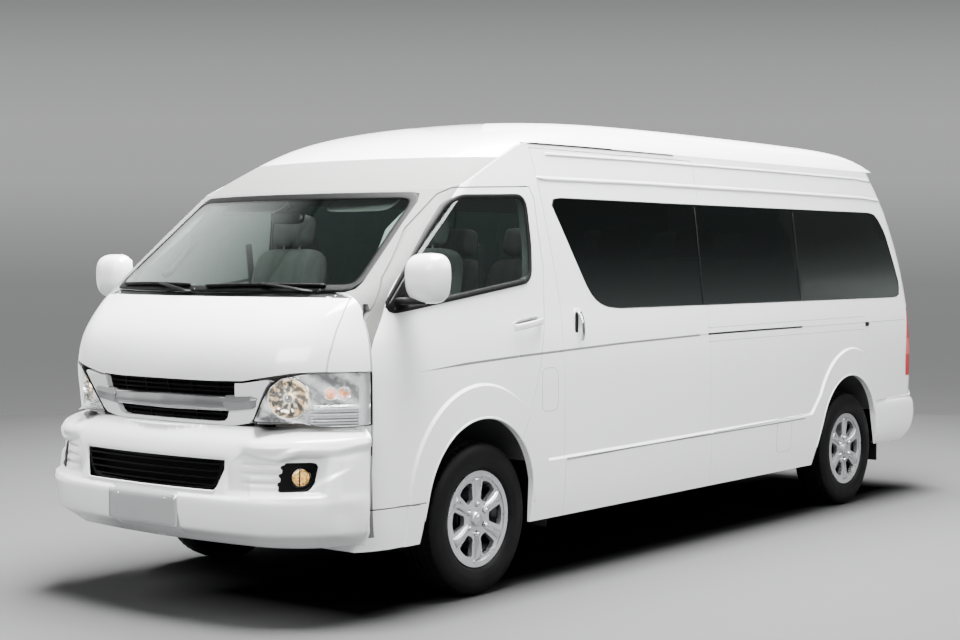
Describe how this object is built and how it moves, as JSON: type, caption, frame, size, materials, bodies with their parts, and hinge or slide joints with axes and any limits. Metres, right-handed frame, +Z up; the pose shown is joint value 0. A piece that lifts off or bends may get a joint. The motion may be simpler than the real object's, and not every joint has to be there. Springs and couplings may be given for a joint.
{
  "type": "minibus",
  "caption": "Long high-roof passenger minibus with a short nose, hinged front doors, bonnet and tailgate, steered front wheels and alloy rims.",
  "frame": {"origin": "on the ground under the middle of the vehicle's length and width", "axes": "+X to the vehicle's left, +Y to its rear, +Z up"},
  "size_m": [2.2, 5.9841, 2.2848],
  "materials": {
    "paint": "gloss",
    "clear_glass": "polished",
    "tinted_glass": "polished",
    "lamp_glass": "polished",
    "fog_trim": "gloss",
    "lamp_red": "gloss",
    "silver_trim": "satin",
    "black_trim": "matte",
    "cabin_plastic": "matte",
    "seat_cloth": "matte",
    "underbody": "matte",
    "cast": "rough",
    "pipe": "brushed",
    "core": "matte",
    "alloy": "satin",
    "tyre_rubber": "matte"
  },
  "bodies": {
    "body": {"body_shell": "paint", "roof_cap": "paint", "windscreen": "clear_glass", "side_glass": "tinted_glass", "sliding_door": "paint", "front_bumper": "paint", "rear_bumper": "paint", "grille_panel": "paint", "grille_bar": "silver_trim", "grille": "black_trim", "lower_grille": "black_trim", "headlamps": "lamp_glass", "fog_lamps": "fog_trim", "tail_lamps": "lamp_red", "floor": "underbody", "dashboard": "cabin_plastic", "steering_wheel": "cabin_plastic", "front_seats": "seat_cloth", "rear_seats": "seat_cloth", "engine_block": "cast", "chassis_rails": "underbody", "front_beam": "underbody", "rear_axle": "underbody", "fuel_tank": "underbody", "exhaust": "pipe", "radiator": "core", "mudflaps": "black_trim"},
    "bonnet_lid": {"bonnet": "paint"},
    "door_left": {"front_door_left": "paint", "door_glass_left": "clear_glass", "mirror_left": "paint"},
    "door_right": {"front_door_right": "paint", "door_glass_right": "clear_glass", "mirror_right": "paint"},
    "rear_gate": {"tailgate": "paint", "tailgate_glass": "tinted_glass"},
    "steer_left": {"knuckle_left": "underbody"},
    "steer_right": {"knuckle_right": "underbody"},
    "wheel_front_left": {"rim_front_left": "alloy", "tyre_front_left": "tyre_rubber"},
    "wheel_front_right": {"rim_front_right": "alloy", "tyre_front_right": "tyre_rubber"},
    "wheel_rear_left": {"rim_rear_left": "alloy", "tyre_rear_left": "tyre_rubber"},
    "wheel_rear_right": {"rim_rear_right": "alloy", "tyre_rear_right": "tyre_rubber"}
  },
  "joints": [
    {"name": "steer_left", "type": "hinge", "parent": "body", "child": "steer_left", "pos_m": [0.7145, -1.775, 0.3535], "axis": [0, 0, 1], "range_deg": [-32, 32]},
    {"name": "spin_front_left", "type": "hinge", "parent": "steer_left", "child": "wheel_front_left", "pos_m": [0.7945, -1.775, 0.3535], "axis": [1, 0, 0], "continuous": true},
    {"name": "spin_rear_left", "type": "hinge", "parent": "body", "child": "wheel_rear_left", "pos_m": [0.7945, 1.945, 0.3535], "axis": [1, 0, 0], "continuous": true},
    {"name": "open_door_left", "type": "hinge", "parent": "body", "child": "door_left", "pos_m": [0.88, -2.49, 1], "axis": [0, 0, -1], "range_deg": [0, 68]},
    {"name": "steer_right", "type": "hinge", "parent": "body", "child": "steer_right", "pos_m": [-0.7145, -1.775, 0.3535], "axis": [0, 0, 1], "range_deg": [-32, 32]},
    {"name": "spin_front_right", "type": "hinge", "parent": "steer_right", "child": "wheel_front_right", "pos_m": [-0.7945, -1.775, 0.3535], "axis": [1, 0, 0], "continuous": true},
    {"name": "spin_rear_right", "type": "hinge", "parent": "body", "child": "wheel_rear_right", "pos_m": [-0.7945, 1.945, 0.3535], "axis": [1, 0, 0], "continuous": true},
    {"name": "open_door_right", "type": "hinge", "parent": "body", "child": "door_right", "pos_m": [-0.88, -2.49, 1], "axis": [0, 0, 1], "range_deg": [0, 68]},
    {"name": "open_bonnet", "type": "hinge", "parent": "body", "child": "bonnet_lid", "pos_m": [0, -2.53, 1.38], "axis": [-1, 0, 0], "range_deg": [0, 45]},
    {"name": "open_tailgate", "type": "hinge", "parent": "body", "child": "rear_gate", "pos_m": [0, 2.588, 2.04], "axis": [1, 0, 0], "range_deg": [0, 85]}
  ],
  "couplings": [
    {"joint": "steer_right", "follows": "steer_left", "ratio": 1}
  ]
}
